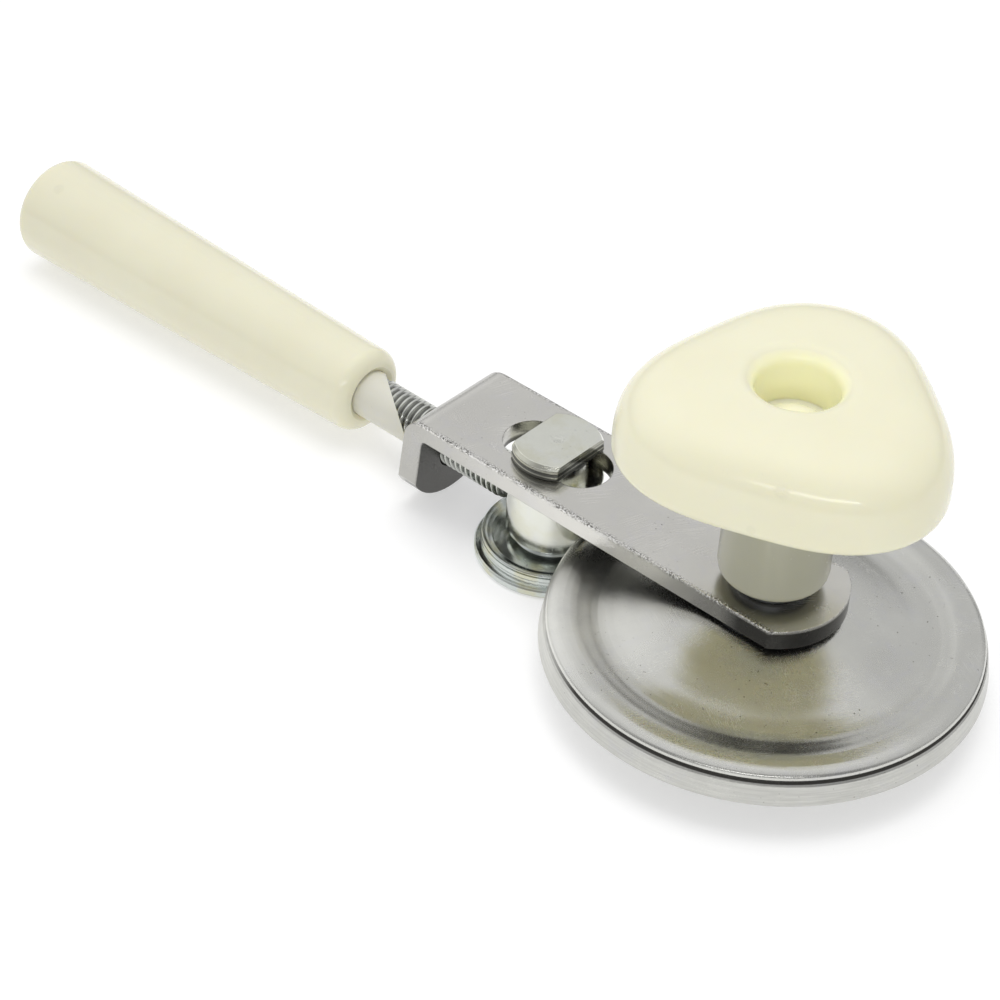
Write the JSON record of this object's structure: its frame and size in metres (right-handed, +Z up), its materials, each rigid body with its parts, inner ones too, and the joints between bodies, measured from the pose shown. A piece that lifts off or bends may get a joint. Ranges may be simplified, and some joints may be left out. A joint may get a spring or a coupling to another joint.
{
  "type": "hand jar lid seamer",
  "caption": "Hand seamer for jar lids: steel chuck plate with palm knob, turning arm, and a seaming roller fed along the arm by a threaded handle.",
  "frame": {"origin": "on the axle's axis, level with the lower edge of the chuck's skirt", "axes": "+Z up the axle to the palm knob; the arm and its handle point along -X; Y runs across the arm"},
  "size_m": [0.2617, 0.09, 0.075],
  "materials": {
    "stamped_steel": "satin",
    "arm_steel": "satin zinc plated",
    "zinc_steel": "bright zinc plated",
    "dark_steel": "oiled",
    "bronze": "satin",
    "cream_plastic": "gloss"
  },
  "bodies": {
    "chuck": {"chuck_plate": "stamped_steel", "chuck_backing_washer": "stamped_steel", "axle_bolt": "zinc_steel", "pivot_washer": "zinc_steel", "axle_collar": "dark_steel", "palm_knob": "cream_plastic", "knob_washer": "zinc_steel", "knob_nut": "zinc_steel", "knob_plug": "cream_plastic"},
    "arm": {"arm_bracket": "arm_steel"},
    "post": {"roller_post": "zinc_steel", "swivel_pin": "zinc_steel", "roller_screw": "zinc_steel", "roller_washer": "dark_steel"},
    "roller": {"seaming_roller": "zinc_steel", "roller_bush": "bronze"},
    "screw": {"feed_screw": "zinc_steel", "handle_ferrule": "cream_plastic", "handle_grip": "cream_plastic"}
  },
  "joints": [
    {"name": "arm_turn", "type": "hinge", "parent": "chuck", "child": "arm", "pos_m": [0, 0, 0.015], "axis": [0, 0, 1], "continuous": true},
    {"name": "post_slide", "type": "slide", "parent": "arm", "child": "post", "axis": [1, 0, 0], "range_m": [-0.0063, 0.0006]},
    {"name": "screw_turn", "type": "hinge", "parent": "post", "child": "screw", "pos_m": [-0.062, 0, 0.0042], "axis": [1, 0, 0], "range_deg": [-1512.5, 144.5]},
    {"name": "roller_spin", "type": "hinge", "parent": "post", "child": "roller", "pos_m": [-0.0557, 0, -0.006], "axis": [0, 0, 1], "continuous": true}
  ],
  "couplings": [
    {"joint": "screw_turn", "follows": "post_slide", "rad_per_m": 4188.8}
  ]
}
